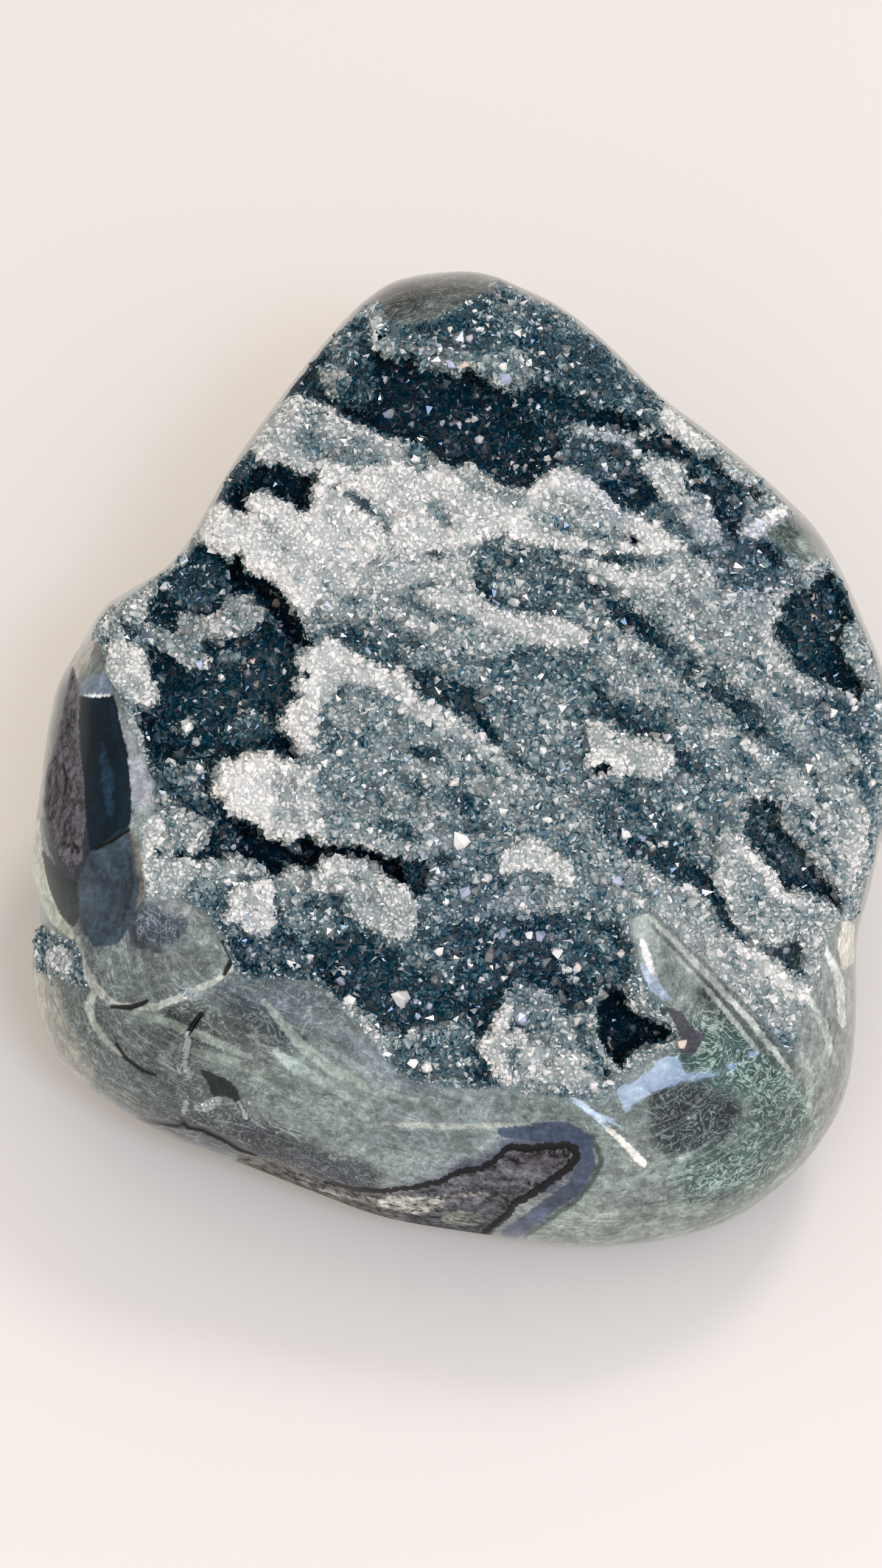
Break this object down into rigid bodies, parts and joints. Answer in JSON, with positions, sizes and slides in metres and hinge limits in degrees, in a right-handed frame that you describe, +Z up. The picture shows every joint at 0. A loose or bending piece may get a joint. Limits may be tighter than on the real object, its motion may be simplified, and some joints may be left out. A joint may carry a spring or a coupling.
{
  "type": "druzy agate",
  "caption": "Polished free-form agate stone with an open druse of quartz crystals over ridges and hollows in its upper face.",
  "frame": {"origin": "under the middle of the stone, on the small flat that it rests on", "axes": "+Z up from the resting flat, +Y from the low polished front towards the high apex, +X to the right as seen from the front"},
  "size_m": [0.1161, 0.1317, 0.0717],
  "materials": {
    "polished_agate": "tumbled and polished grey-green chalcedony with dark bands and sage streaks",
    "druzy_quartz": "fine clear to white quartz points over grey-green chalcedony"
  },
  "bodies": {
    "root": {"agate": "polished_agate", "druzy_crust": "druzy_quartz"}
  },
  "joints": []
}
